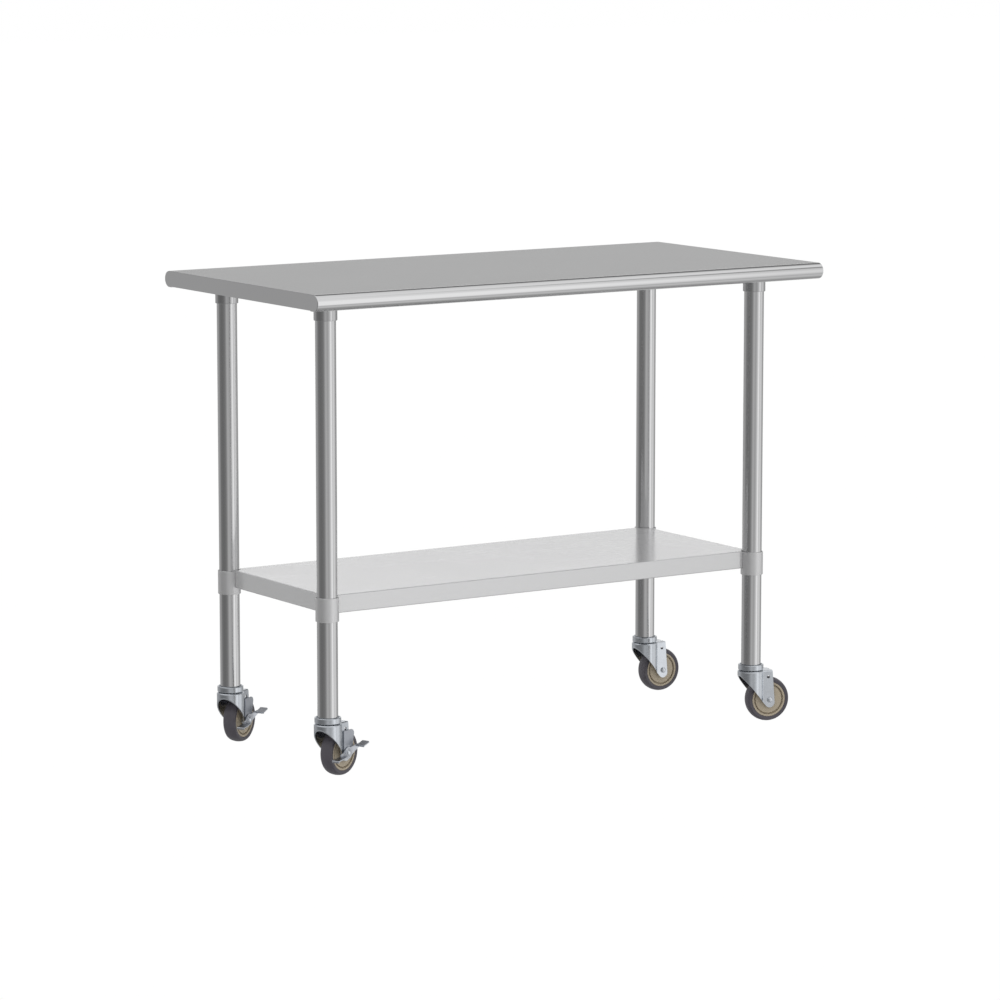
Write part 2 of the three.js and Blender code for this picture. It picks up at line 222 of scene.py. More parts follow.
def smooth(mesh, angle=35):
    """Smooth shading with the folds sharper than the angle kept crisp."""
    mesh.polygons.foreach_set("use_smooth", [True] * len(mesh.polygons))
    mesh.set_sharp_from_angle(angle=math.radians(angle))


def mesh_from(name, vertices, faces, angle=35):
    """A mesh with outward faces and no doubled vertices."""
    mesh = bpy.data.meshes.new(name)
    bm = bmesh.new()
    verts = [bm.verts.new(v) for v in vertices]
    for face in faces:
        bm.faces.new([verts[i] for i in face])
    bmesh.ops.remove_doubles(bm, verts=bm.verts, dist=1e-6)
    bmesh.ops.dissolve_degenerate(bm, dist=1e-7, edges=bm.edges)
    loose = [edge for edge in bm.edges if not edge.link_faces]
    bmesh.ops.delete(bm, geom=loose, context="EDGES")
    bmesh.ops.recalc_face_normals(bm, faces=bm.faces)
    bm.to_mesh(mesh)
    bm.free()
    smooth(mesh, angle)
    return mesh


def grid_faces(rows, size, closed_rows=True, closed_path=False):
    """Quads between neighbouring rows of points that all have the same number of points."""
    faces = []
    for i in range(rows if closed_path else rows - 1):
        a = i * size
        b = (i + 1) % rows * size
        for j in range(size if closed_rows else size - 1):
            k = (j + 1) % size
            faces.append((a + j, a + k, b + k, b + j))
    return faces


def loft(name, rows, closed_rows=True, closed_path=False, caps=False, angle=35):
    """A skin over rows of points; caps closes the first and the last row."""
    size = len(rows[0])
    faces = grid_faces(len(rows), size, closed_rows, closed_path)
    if caps:
        faces.append(tuple(range(size)))
        faces.append(tuple(range((len(rows) - 1) * size, len(rows) * size)))
    return mesh_from(name, [v for row in rows for v in row], faces, angle)


def along(axis, points):
    """Points given as (u, v, height), with the height along Y or Z."""
    return [(u, h, v) for u, v, h in points] if axis == "Y" else points


def turned(name, profile, sides=ROUND_SIDES, axis="Z", angle=35):
    """A closed profile of (radius, height) points turned about an axis."""
    loops = []
    for u, v in arc((0, 0), 1, 0, 360, sides)[:-1]:
        loops.append(along(axis, [(r * u, r * v, h) for r, h in profile]))
    return loft(name, loops, closed_path=True, angle=angle)


def prism(name, outline, low, high, bevel=0.0, axis="Y"):
    """A closed outline made thick along an axis, its two rims softened by a bevel."""
    turns = quarter(3) if bevel else [math.pi / 2]
    rim = [(bevel * (1 - math.sin(turn)), bevel * (1 - math.cos(turn))) for turn in turns]
    levels = [(inset, low + rise) for inset, rise in rim]
    levels += [(inset, high - rise) for inset, rise in reversed(rim)]
    loops = []
    for inset, level in levels:
        flat = offset_outline(outline, inset) if inset else outline
        loops.append(along(axis, [(u, v, level) for u, v in flat]))
    return loft(name, loops, caps=True)


def shift(mesh, offset):
    """Moves a mesh's own points, so that several objects can share it in one frame."""
    mesh.transform(Matrix.Translation(offset))
    return mesh


def add_object(name, data):
    item = bpy.data.objects.new(name, data)
    bpy.context.scene.collection.objects.link(item)
    return item


def evaluated(mesh, add_modifiers):
    """The mesh with modifiers applied through a throwaway object."""
    piece = add_object("workpiece", mesh)
    add_modifiers(piece)
    graph = bpy.context.evaluated_depsgraph_get()
    made = bpy.data.meshes.new_from_object(piece.evaluated_get(graph))
    bpy.data.objects.remove(piece)
    smooth(made)
    return made


def combined(operation, mesh, *others):
    """A closed mesh joined with other closed meshes, or cut by them."""
    tools = [add_object("tool", other) for other in others]

    def add_modifiers(piece):
        for tool in tools:
            modifier = piece.modifiers.new("boolean", "BOOLEAN")
            modifier.operation = operation
            modifier.solver = "EXACT"
            modifier.object = tool

    made = evaluated(mesh, add_modifiers)
    for tool in tools:
        bpy.data.objects.remove(tool)
    return made


def cut(mesh, *cutters):
    return combined("DIFFERENCE", mesh, *cutters)


def thicken(skin, thickness):
    """Turns an open skin, most of which lies flat, into a closed sheet of even thickness below it.
    A second material, if the skin has one, covers the sheet's back."""
    if sum(face.normal.z * face.area for face in skin.polygons) < 0:
        skin.flip_normals()

    def add_modifiers(piece):
        modifier = piece.modifiers.new("sheet", "SOLIDIFY")
        modifier.thickness = thickness
        modifier.offset = -1.0
        modifier.use_even_offset = True
        modifier.material_offset = 1

    return evaluated(skin, add_modifiers)


# -------- materials

class Nodes:
    """A short way to write node trees: each call makes one node and links its inputs."""

    def __init__(self, tree):
        self.tree = tree
        tree.nodes.clear()

    def add(self, kind, inputs=None, **settings):
        node = self.tree.nodes.new(kind)
        for key, value in settings.items():
            setattr(node, key, value)
        for key, value in (inputs or {}).items():
            if hasattr(value, "is_output"):
                self.tree.links.new(value, node.inputs[key])
            else:
                node.inputs[key].default_value = value
        return node

    def math(self, operation, a, b=0.0):
        return self.add("ShaderNodeMath", {0: a, 1: b}, operation=operation).outputs[0]

    def noise(self, scale, detail, rough):
        """Noise over the object, its scale given for each axis or as one number for all."""
        if not isinstance(scale, tuple):
            scale = (scale,) * 3
        source = self.add("ShaderNodeTexCoord").outputs["Object"]
        spot = self.add("ShaderNodeMapping", {"Vector": source, "Scale": scale}).outputs[0]
        inputs = {"Vector": spot, "Scale": 1.0, "Detail": detail, "Roughness": rough}
        return self.add("ShaderNodeTexNoise", inputs).outputs[0]

    def remap(self, value, low, high):
        """A value in 0..1 spread over low..high."""
        node = self.add("ShaderNodeMapRange", {"Value": value, "To Min": low, "To Max": high})
        return node.outputs[0]

    def tint(self, factor, tone, dark, light):
        """A colour between a darker and a lighter multiple of one tone."""
        ends = {6: (*(c * dark for c in tone), 1), 7: (*(c * light for c in tone), 1)}
        return self.add("ShaderNodeMix", {0: factor, **ends}, data_type="RGBA").outputs[2]

    def blend(self, a, b, factor):
        """A plain number part of the way from a to b."""
        node = self.add("ShaderNodeMix", {0: factor, 2: a, 3: b}, data_type="FLOAT")
        return node.outputs[0]

    def bump(self, height, strength, distance, normal=None):
        inputs = {"Height": height, "Strength": strength, "Distance": distance}
        if normal is not None:
            inputs["Normal"] = normal
        return self.add("ShaderNodeBump", inputs).outputs[0]

    def surface(self, **inputs):
        """The material's one shader, its inputs named with underscores for spaces."""
        named = {key.replace("_", " "): value for key, value in inputs.items()}
        shader = self.add("ShaderNodeBsdfPrincipled", named)
        self.add("ShaderNodeOutputMaterial", {"Surface": shader.outputs[0]})


def new_material(name):
    material = bpy.data.materials.new(name)
    material.use_nodes = True
    return material, Nodes(material.node_tree)


def brushed(name, tone, roughness, grain, depth, wear, metallic=1.0):
    """Brushed or polished steel. grain is the noise scale along X, Y and Z: the grain runs along
    the axis with the small number. wear spreads soft smudges over the roughness."""
    material, n = new_material(name)
    lines = n.noise(grain, 4.0, 0.6)
    smudge = n.noise(5, 5.0, 0.55)
    fleck = n.noise(60, 2.0, 0.5)
    rough = n.remap(lines, roughness * 0.85, roughness * 1.15)
    rough = n.math("ADD", rough, n.remap(smudge, -wear, wear))
    rough = n.math("ADD", rough, n.remap(fleck, -wear * 0.3, wear * 0.3))
    colour = n.tint(n.blend(smudge, lines, 0.6), tone, 0.96, 1.04)
    n.surface(Base_Color=colour, Metallic=metallic, Roughness=rough,
              Normal=n.bump(lines, depth, 0.4 * MM))
    return material


def zinc(name, tone, roughness):
    """Bright zinc plate: a bluish steel with fine mottling from the pressing and the plating."""
    material, n = new_material(name)
    crystals = n.noise(420, 3.0, 0.6)
    patches = n.noise((55, 55, 38), 4.0, 0.6)
    mottle = n.blend(patches, crystals, 0.45)
    normal = n.bump(patches, 0.10, 0.8 * MM, n.bump(crystals, 0.10, 0.2 * MM))
    n.surface(Base_Color=n.tint(mottle, tone, 0.64, 1.26), Metallic=1.0, Normal=normal,
              Roughness=n.remap(mottle, roughness * 0.7, roughness * 1.35))
    return material


def rubber(name, tone):
    """Grey tyre rubber with a dusty bloom and fine moulding texture."""
    material, n = new_material(name)
    grain = n.noise(900, 3.0, 0.6)
    bloom = n.noise(45, 4.0, 0.6)
    n.surface(Base_Color=n.tint(bloom, tone, 0.8, 1.25), Roughness=n.remap(bloom, 0.42, 0.62),
              Normal=n.bump(grain, 0.12, 0.2 * MM), Specular_IOR_Level=0.5, Sheen_Weight=0.08)
    return material


def plastic(name, tone):
    """Moulded hub plastic: faint flow marks and a fine matte grain."""
    material, n = new_material(name)
    grain = n.noise(700, 2.0, 0.5)
    flow = n.noise(38, 5.0, 0.65)
    n.surface(Base_Color=n.tint(flow, tone, 0.88, 1.1), Roughness=n.remap(flow, 0.4, 0.55),
              Normal=n.bump(grain, 0.08, 0.2 * MM), Specular_IOR_Level=0.45)
    return material


STEEL = (0.62, 0.62, 0.625)

# Each finish: its material, and a name for what the piece is made of.
FINISHES = {
    "top": (brushed("worktop_steel", STEEL, 0.08, (3, 900, 900), 0.02, 0.012), "worktop_steel"),
    "underside": (brushed("underside_steel", (0.5, 0.5, 0.51), 0.5, (4, 500, 500), 0.06, 0.06, 0.4),
                  "worktop_steel"),
    "shelf": (brushed("shelf_steel", STEEL, 0.19, (3, 700, 700), 0.05, 0.03, 0.5),
              "worktop_steel"),
    "channel": (brushed("channel_steel", (0.6, 0.61, 0.62), 0.4, (4, 500, 500), 0.08, 0.07),
                "channel_steel"),
    "tube": (brushed("tube_steel", STEEL, 0.13, (500, 500, 4), 0.02, 0.02), "tube_steel"),
    "collar": (brushed("collar_steel", (0.64, 0.64, 0.645), 0.42, (90, 90, 700), 0.10, 0.05, 0.8),
               "satin_steel"),
    # the socket's darker tone is painted shade, for the shade that falls on it under the worktop
    "socket": (brushed("socket_steel_painted_shade", (0.53, 0.53, 0.535), 0.12, (90, 90, 600), 0.04, 0.03),
               "satin_steel"),
    "zinc": (zinc("zinc_plate", (0.60, 0.63, 0.67), 0.22), "zinc_plate"),
    "bolt": (zinc("bolt_zinc", (0.64, 0.67, 0.71), 0.24), "fastener_steel"),
    "plate": (zinc("plate_zinc", (0.43, 0.45, 0.49), 0.34), "zinc_plate"),
    "pedal": (zinc("pedal_zinc", (0.56, 0.58, 0.62), 0.32), "zinc_plate"),
    "rubber": (rubber("tyre_rubber", (0.075, 0.068, 0.082)), "tyre_rubber"),
    "plastic": (plastic("hub_plastic", (0.455, 0.39, 0.29)), "hub_plastic"),
}


# -------- placing

def place(name, mesh, body, finish, node, matrix=None):
    """Puts a mesh in the scene as one piece, riding on a CAD body in place of a CAD node."""
    material, slot = FINISHES[finish]
    if not mesh.materials:
        mesh.materials.append(material)
    piece = add_object(name, mesh)
    # large flats keep their true normals, and only the bends beside them look round
    shading = piece.modifiers.new("true flats", "WEIGHTED_NORMAL")
    shading.keep_sharp = True
    if matrix is not None:
        piece.matrix_world = matrix
    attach(piece, body)
    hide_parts(node)


def middle_of(node):
    """The middle of a CAD node's box."""
    low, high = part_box(node)
    return (low + high) / 2


def at_leg(corner, turn=0.0):
    """The place of a leg's axis on the floor."""
    middle = middle_of("leg_" + corner)
    return Matrix.Translation((middle.x, middle.y, 0)) @ Matrix.Rotation(turn, 4, "Z")


# -------- worktop

def top_section(half_y, radius, middle, inset, open_y):
    """The worktop's skin across its depth, from the front lip round the top to the rear lip."""
    centre = half_y - radius
    r = radius - inset
    steps = 22
    front = arc((-centre, middle), r, 270, 90, steps)
    rear = arc((centre, middle), r, 90, -90, steps)
    return [(-open_y, middle - r), *front, *rear, (open_y, middle - r)]


def top_rows(low, high, open_y):
    """Sections of the worktop from its left end to its right, close together in the ends' folds."""
    radius = (high.z - low.z) / 2
    middle = (high.z + low.z) / 2
    turns = quarter(5)
    rows = []
    for side, ordered in ((-1, turns), (1, turns[::-1])):
        for turn in ordered:
            inset = CAP_FOLD * (1 - math.sin(turn))
            x = side * (high.x - CAP_FOLD * (1 - math.cos(turn)))
            section = top_section(high.y, radius, middle, inset, open_y)
            rows.append([(x, y, z) for y, z in section])
    return rows


def worktop():
    """One folded sheet: rolled front and rear edges, flat closed ends, and a lip all round."""
    low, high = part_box("worktop")
    open_y = high.y - (high.z - low.z) / 2 - LIP
    rows = top_rows(low, high, open_y)
    size = len(rows[0])
    vertices = [v for row in rows for v in row]
    faces = grid_faces(len(rows), size, closed_rows=False)
    for start, side in ((0, -1), (len(vertices) - size, 1)):
        faces.append(tuple(range(start, start + size)))
        # the end's own lip, turned in along the bottom
        inner_x = side * (high.x - LIP)
        z = vertices[start][2]
        corner = len(vertices)
        vertices += [(inner_x, -open_y, z), (inner_x, open_y, z)]
        faces.append((start, start + size - 1, corner + 1, corner))
    skin = mesh_from("worktop_skin", vertices, faces, 30)
    for finish in ("top", "underside"):
        skin.materials.append(FINISHES[finish][0])
    place("worktop_shell", thicken(skin, TOP_SHEET), "table_frame", "top", "worktop")


def hat_channel(node, body, name):
    """A hat channel folded from thicker sheet: two rims at the top and a web at the bottom."""
    low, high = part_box(node)
    front, rear = low.y + CHANNEL_RIM, high.y - CHANNEL_RIM
    section = eased([
        (low.y, high.z, 0), (front, high.z, 2.4), (front, low.z, 3),
        (rear, low.z, 3), (rear, high.z, 2.4), (high.y, high.z, 0),
    ])
    rows = [[(x, y, z) for y, z in section] for x in (low.x, high.x)]
    skin = loft(name + "_skin", rows, closed_rows=False)
    place(name, thicken(skin, CHANNEL_SHEET), body, "channel", node)


# -------- undershelf

def shelf_outline(low, high, notch, inset):
    """The shelf's outline from above: for each corner, the points of the arc round its leg."""
    corners = []
    for sx, sy in ((-1, -1), (1, -1), (1, 1), (-1, 1)):
        name = ("front_" if sy < 0 else "rear_") + ("left" if sx < 0 else "right")
        post = middle_of("leg_" + name)
        edge_x = (high.x if sx > 0 else low.x) - sx * inset
        edge_y = (high.y if sy > 0 else low.y) - sy * inset
        along_x = math.sqrt(notch**2 - (edge_y - post.y) ** 2)
        along_y = math.sqrt(notch**2 - (edge_x - post.x) ** 2)
        on_side = Vector((edge_x, post.y - sy * along_y)) - post.xy
        on_front = Vector((post.x - sx * along_x, edge_y)) - post.xy
        first, last = (on_side, on_front) if sx * sy > 0 else (on_front, on_side)
        turn = first.angle_signed(last)
        steps = 14
        turns = [-turn * k / steps for k in range(steps + 1)]
        corners.append([post.xy + Matrix.Rotation(angle, 2) @ first for angle in turns])
    return corners


def shelf():
    """One folded pan: flat top, flanges down its four sides, and lips turned in below them."""
    low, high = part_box("shelf")
    collar_low, collar_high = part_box("shelf_collar_front_left")
    notch = (collar_high.x - collar_low.x) / 2 + FIT_GAP
    drop = low.z - high.z
    fold = rounded([(FOLD * 2, 0), (0, 0), (0, drop), (LIP, drop)], [0, FOLD, FOLD, 0])
    vertices = []
    for inset, level in fold:
        ring = shelf_outline(low, high, notch, inset)
        vertices += [(spot.x, spot.y, high.z + level) for corner in ring for spot in corner]
    ring_size = len(vertices) // len(fold)
    corner_size = ring_size // 4
    faces = [tuple(range(ring_size))]
    for start in range(0, len(vertices) - ring_size, ring_size):
        for corner in range(1, 5):
            a = start + corner * corner_size - 1
            b = start + corner % 4 * corner_size
            faces.append((a, b, b + ring_size, a + ring_size))
    skin = mesh_from("shelf_skin", vertices, faces, 30)
    place("shelf_pan", thicken(skin, TOP_SHEET), "undershelf", "shelf", "shelf")


# -------- legs and sleeves

def leg(corner):
    """A plain tube."""
    low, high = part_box("leg_" + corner)
    radius = (high.x - low.x) / 2
    tube = turned("leg_tube", tube_profile(radius - LEG_WALL, radius, low.z, high.z, 0.3 * MM))
    place("leg_tube_" + corner, tube, "table_frame", "tube", "leg_" + corner, at_leg(corner))


def screw_hole(node):
    """A cutter for a set screw's hole, from the leg's axis along +Y."""
    length = 40 * MM
    hole = prism("hole", disc((0, 0), SCREW_HOLE), 0.0, length)
    return shift(hole, (0, 0, middle_of(node).z))


def leg_socket(corner):
    """A cup over the leg's top end, with a flange against the channel."""
    node = "leg_socket_" + corner
    low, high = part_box(node)
    flange = (high.x - low.x) / 2
    under = high.z - SOCKET_PLATE
    section = eased([
        (0.0, under, 0), (SOCKET_BORE, under, 0.8), (SOCKET_BORE, low.z, 0.5),
        (SOCKET_OUTER, low.z, 0.9), (SOCKET_OUTER, under, 2.4), (flange, under, 0.6),
        (flange, high.z, 0.6), (0.0, high.z, 0),
    ], 4)
    cup = cut(turned("leg_socket", section), screw_hole("socket_screw_" + corner))
    place("leg_socket_cup_" + corner, cup, "table_frame", "socket", node, at_leg(corner))


def shelf_collar(corner):
    """A sleeve that carries the shelf's corner."""
    node = "shelf_collar_" + corner
    low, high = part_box(node)
    outer = (high.x - low.x) / 2
    wall = tube_profile(outer - COLLAR_WALL, outer, low.z, high.z, 0.7 * MM)
    sleeve = cut(turned("shelf_collar", wall), screw_hole("collar_screw_" + corner))
    place("shelf_collar_sleeve_" + corner, sleeve, "undershelf", "collar", node, at_leg(corner))


def set_screw_mesh(radius, length):
    """A headless screw with a cup point, thread rings, a chamfered end and a hexagon recess."""
    ridge, pitch, chamfer = 0.25 * MM, 1.0 * MM, 0.6 * MM
    cup, cup_depth, cup_rim = radius * 0.3, 0.5 * MM, radius * 0.62
    key, key_depth = radius * 0.58, 2.0 * MM
    loops = [circle_loop(cup, cup_depth), circle_loop(cup_rim, 0.0)]
    level = chamfer
    while level < length - 2 * chamfer:
        loops.append(circle_loop(radius - ridge, level))
        loops.append(circle_loop(radius, level + pitch / 2))
        level += pitch
    loops.append(circle_loop(radius, length - chamfer))
    loops.append(circle_loop(radius - chamfer, length))
    loops.append(hexagon_loop(key, length))
    loops.append(hexagon_loop(key, length - key_depth))
    return loft("set_screw", loops, caps=True, angle=30)


def set_screw(kind, corner, body):
    """A set screw with its recess outwards, along +Y."""
    node = kind + "_" + corner
    low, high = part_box(node)
    centre = middle_of(node)
    turn = Matrix.Rotation(math.radians(-90), 4, "X")
    matrix = Matrix.Translation((centre.x, low.y, centre.z)) @ turn
    mesh = set_screw_mesh((high.x - low.x) / 2, high.y - low.y)
    place(kind + "_body_" + corner, mesh, body, "bolt", node, matrix)


# -------- casters

class Caster:
    """Where one caster stands, and the sizes of its CAD nodes in the caster's own frame."""

    def __init__(self, corner):
        self.corner = corner
        wheel = middle_of("tyre_" + corner)
        arm = wheel - middle_of("leg_" + corner)
        self.matrix = at_leg(corner, math.atan2(arm.y, arm.x))
        self.trail = math.hypot(arm.x, arm.y)
        self.axle = wheel.z
        self.wheel_centre = (self.trail, 0, self.axle)
        self.braked = corner in BRAKED

    def box(self, kind):
        """The low and high corners of one of this caster's CAD nodes, in the caster's frame."""
        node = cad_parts[kind + "_" + self.corner]
        back = self.matrix.inverted()
        spread = list(zip(*(back @ vertex.co for vertex in node.data.vertices)))
        return Vector([min(values) for values in spread]), Vector([max(values) for values in spread])

    def axle_cut(self, start, end):
        """A cutter for the axle's hole, between two places along the axle."""
        return prism("axle_cut", disc((self.trail, self.axle), AXLE_HOLE), start, end)


def bearing_section(c, gap):
    """Centre radius, centre height and half height of the ball race, plus a running gap."""
    low, high = c.box("swivel_bearing")
    half = (high.z - low.z) / 2
    return high.x - half, (low.z + high.z) / 2, half + gap


def head_mesh(c):
    """Plug, fixed upper race with a moat round the leg, and the king pin's riveted head."""
    low, high = c.box("caster_stem")
    crown = c.box("caster_fork")[1].z
    leg_end = c.box("leg")[0].z
    race, level, half = bearing_section(c, FIT_GAP)
    mouth = half + RACE_FLARE
    pin_top = low.z + 4 * MM
    bottom = crown + 1.8 * MM
    rim, moat = leg_end - FIT_GAP, leg_end - 2.8 * MM
    profile = [
        (0.0, low.z, 0), (PIN_HEAD, low.z, 1.5), (PIN_HEAD, pin_top, 1), (PIN_RADIUS, pin_top, 0),
        (PIN_RADIUS, bottom, 0), (race - mouth, bottom, 0), (race - RACE_FLOOR, level + half, 0.8),
        (race + RACE_FLOOR, level + half, 0.8), (race + mouth, bottom, 0), (high.y, bottom, 1),
        (high.y, rim, 2.2), (high.y - 3.6 * MM, rim, 1), (high.y - 4.2 * MM, moat, 0.6),
        (PLUG_RADIUS, moat, 0), (PLUG_RADIUS, high.z, 2), (0.0, high.z, 0),
    ]
    return turned("caster_head", eased(profile), 72)


def balls_mesh(c):
    """The balls of the swivel bearing in their thin cage."""
    race, level, radius = bearing_section(c, 0)
    wall, half = 0.7 * MM, 0.6 * MM
    cage = tube_profile(race - wall, race + wall, level - half, level + half, 0.2 * MM)
    mesh = turned("swivel_balls", cage, 60)
    bm = bmesh.new()
    bm.from_mesh(mesh)
    for x, y in arc((0, 0), race, 0, 360, BALLS)[:-1]:
        bmesh.ops.create_uvsphere(bm, u_segments=14, v_segments=9, radius=radius,
                                  matrix=Matrix.Translation((x, y, level)))
    bm.to_mesh(mesh)
    bm.free()
    smooth(mesh)
    return mesh


class ForkShape:
    """The fork's outer skin as a row of columns, from the front of the skirt to one side's back."""

    def __init__(self, c):
        low, high = c.box("caster_fork")
        self.radius = -low.x
        self.top = high.z
        self.tip = high.x - c.trail  # the round end under the axle
        self.tip_height = low.z + self.tip
        self.side = 19 * MM  # outer face of the flat side plates
        self.back = 42.4 * MM  # where the side plates end at the crown
        self.front_edge = 101.6 * MM  # height of the skirt's open edge, at the front
        self.trail = c.trail

    def on_tip(self, angle):
        turn = math.radians(angle)
        return self.trail + self.tip * math.cos(turn), self.tip_height + self.tip * math.sin(turn)

    def edge_height(self, x):
        """The height of the skirt's slanting open edge, at a distance along the trail."""
        tip_x, tip_z = self.on_tip(225)
        share = min(max((x + self.radius) / (tip_x + self.radius), 0.0), 1.0)
        sag = 1.0 * MM
        return self.front_edge + (tip_z - self.front_edge) * share - 4 * sag * share * (1 - share)

    def columns(self):
        """Top point (x, y) and bottom point (x, z) of each column of one half of the wall."""
        blend = 1.4 * MM  # inner bend where the round skirt runs into a flat side plate
        centre_y = self.side + blend
        centre_x = math.sqrt((self.radius + blend) ** 2 - centre_y**2)
        skirt_end = math.degrees(math.atan2(centre_y, centre_x))
        plan = arc((0, 0), self.radius, 180, skirt_end, 26)
        plan += arc((centre_x, centre_y), blend, skirt_end + 180, 270, 5)[1:]
        wall = [(x, y, x, self.edge_height(x)) for x, y in plan]
        start = plan[-1][0]
        slant_end = self.on_tip(225)[0]
        xs = [start + (slant_end - start) * i / 5 for i in range(1, 5)]
        foot = [(x, self.edge_height(x)) for x in xs]
        foot += [self.on_tip(225 + 135 * i / 16) for i in range(17)]
        for i, (x_low, z_low) in enumerate(foot, 1):
            x_top = start + (self.back - start) * i / len(foot)
            wall.append((x_top, self.side, x_low, z_low))
        return wall


def fork_rows(shape, wall, crown):
    """One skin of the fork, row by row: the bent shoulder, then the wall down to the open edge.
    wall and crown say how far it lies inside the outer skin."""
    half = shape.columns()
    columns = [(x, -y, x_low, z) for x, y, x_low, z in reversed(half)] + half[1:]
    plan = [Vector(column[:2]) for column in columns]
    bend = FORK_BEND - wall
    top = shape.top - crown
    rows = []
    for turn in quarter(6):
        level = top - bend * (1 - math.cos(turn))
        inset = wall + bend * (1 - math.sin(turn))
        rows.append([(*spot, level) for spot in inset_path(plan, inset)])
    shoulder = top - bend
    feet = []
    for spot, (x, _, x_low, z_low) in zip(inset_path(plan, wall), columns):
        on_skirt = x_low == x
        foot = (spot.x, spot.y, shape.edge_height(spot.x)) if on_skirt else (x_low, spot.y, z_low)
        feet.append((Vector((*spot, shoulder)), Vector(foot)))
    for share in (r / 9 for r in range(1, 10)):
        rows.append([tuple(head.lerp(foot, share)) for head, foot in feet])
    return rows


def fork_shell(shape):
    """The pressing before its holes: outer and inner skins joined round all their open edges."""
    outer = fork_rows(shape, 0.0, 0.0)
    inner = fork_rows(shape, FORK_WALL, FORK_CROWN)
    rows = outer + inner[::-1]
    size, last = len(outer[0]), len(rows) - 1
    faces = grid_faces(len(rows), size, closed_rows=False)
    for i in range(len(outer) - 1):
        for j in (0, size - 1):
            faces.append((i * size + j, (i + 1) * size + j, (last - i - 1) * size + j,
                          (last - i) * size + j))
    faces.append(tuple(range(size)))
    faces.append(tuple(range(last * size, (last + 1) * size)))
    faces.append((0, size - 1, (last + 1) * size - 1, last * size))
    return mesh_from("fork_shell", [v for row in rows for v in row], faces, 40)


def fork_mesh(c):
    """One pressing: crown, round skirt and two flat side plates, with its holes."""
    shape = ForkShape(c)
    race, level, half = bearing_section(c, FIT_GAP)
    mouth = half + RACE_FLARE
    above, below = shape.top + MM, shape.top - 9 * MM
    race_cut = turned("race_cut", [
        (race - RACE_FLOOR, level - half), (race + RACE_FLOOR, level - half),
        (race + mouth, above), (race - mouth, above),
    ], 64)
    pin_cut = prism("pin_cut", disc((0, 0), PIN_RADIUS + FIT_GAP), below, above, axis="Z")
    sight = disc((c.trail - 3.5 * MM, shape.top - 14 * MM), 3.4 * MM)
    sight_cut = prism("sight_cut", sight, -shape.radius, shape.radius)
    axle_cut = c.axle_cut(-shape.radius, shape.radius)
    return cut(fork_shell(shape), race_cut, pin_cut, axle_cut, sight_cut)


def hub_mesh(c):
    """Rim, ring groove, dished web and boss, the same on both sides."""
    high = c.box("wheel_hub")[1]
    web = 11.6 * MM
    floor_y = web - GROOVE_DEPTH
    half = [
        (AXLE_HOLE, high.y, 0.4), (HUB_BOSS, high.y, 1.0), (HUB_BOSS, web, 1.4),
        (HUB_GROOVE - 1.8 * MM, web, 0.7), (HUB_GROOVE - 1.5 * MM, floor_y, 0.7),
        (HUB_GROOVE + 1.0 * MM, floor_y, 0.7), (HUB_GROOVE + 1.4 * MM, RIM_HALF, 0.7),
        (high.z - c.axle, RIM_HALF, 0.5),
    ]
    profile = [(r, -y, ease) for r, y, ease in half] + half[::-1]
    return shift(turned("wheel_hub", eased(profile, closed=True), axis="Y"), c.wheel_centre)


def tyre_mesh(c):
    """A crowned tread that rolls over into the side walls, with a moulding line at the middle."""
    side = c.box("tyre")[1]
    line = 0.1 * MM
    crown = side.z - c.axle - line - TREAD_SHOULDER
    profile = [(TYRE_BORE, -RIM_HALF)]
    steps = 24
    for i in range(steps + 1):
        angle = math.pi * (i / steps - 0.5)
        radius = TREAD_SHOULDER + crown * math.cos(angle)
        if i == steps // 2:
            radius += line
        profile.append((radius, side.y * math.sin(angle)))
    profile.append((TYRE_BORE, RIM_HALF))
    return shift(turned("tyre", profile, 120, "Y", 50), c.wheel_centre)


def bolt_mesh(c):
    """The axle: a domed head on a washer face at the -Y side and a threaded end at the other."""
    low, high = c.box("axle_bolt")
    dome, face, shank = 5.6 * MM, 6.3 * MM, 4.0 * MM
    rise, washer, ease = 3.0 * MM, 1.0 * MM, 0.3 * MM
    seat = low.y + rise + washer
    profile = [(0.0, low.y)]
    for angle in (12, 24, 36, 48, 60, 72, 82, 90):
        turn = math.radians(angle)
        profile.append((dome * math.sin(turn), seat - washer - rise * math.cos(turn)))
    profile += [(face - ease, seat - washer), (face, seat - washer + ease), (face, seat)]
    profile += [(shank, seat), (shank, high.y - 9 * MM)]
    profile += thread(shank, high.y - 8.5 * MM, high.y - 1.2 * MM)
    profile += [(shank - 0.9 * MM, high.y), (0.0, high.y)]
    return shift(turned("axle_bolt", profile, SMALL_SIDES, "Y"), c.wheel_centre)


def nut_mesh(c):
    """A hexagon nut, chamfered at both ends and round its bore."""
    low, high = c.box("axle_nut")
    height, chamfer = high.y - low.y, 0.6 * MM
    flat = NUT_APOTHEM - 0.3 * MM
    loops = [
        circle_loop(AXLE_HOLE, chamfer), circle_loop(AXLE_HOLE + chamfer, 0),
        circle_loop(flat, 0), hexagon_loop(NUT_APOTHEM, chamfer),
        hexagon_loop(NUT_APOTHEM, height - chamfer), circle_loop(flat, height),
        circle_loop(AXLE_HOLE + chamfer, height), circle_loop(AXLE_HOLE, height - chamfer),
    ]
    mesh = loft("axle_nut", loops, closed_path=True, angle=25)
    mesh.transform(Matrix.Rotation(math.radians(-90), 4, "X"))
    return shift(mesh, (c.trail, low.y, c.axle))


# -------- foot brake

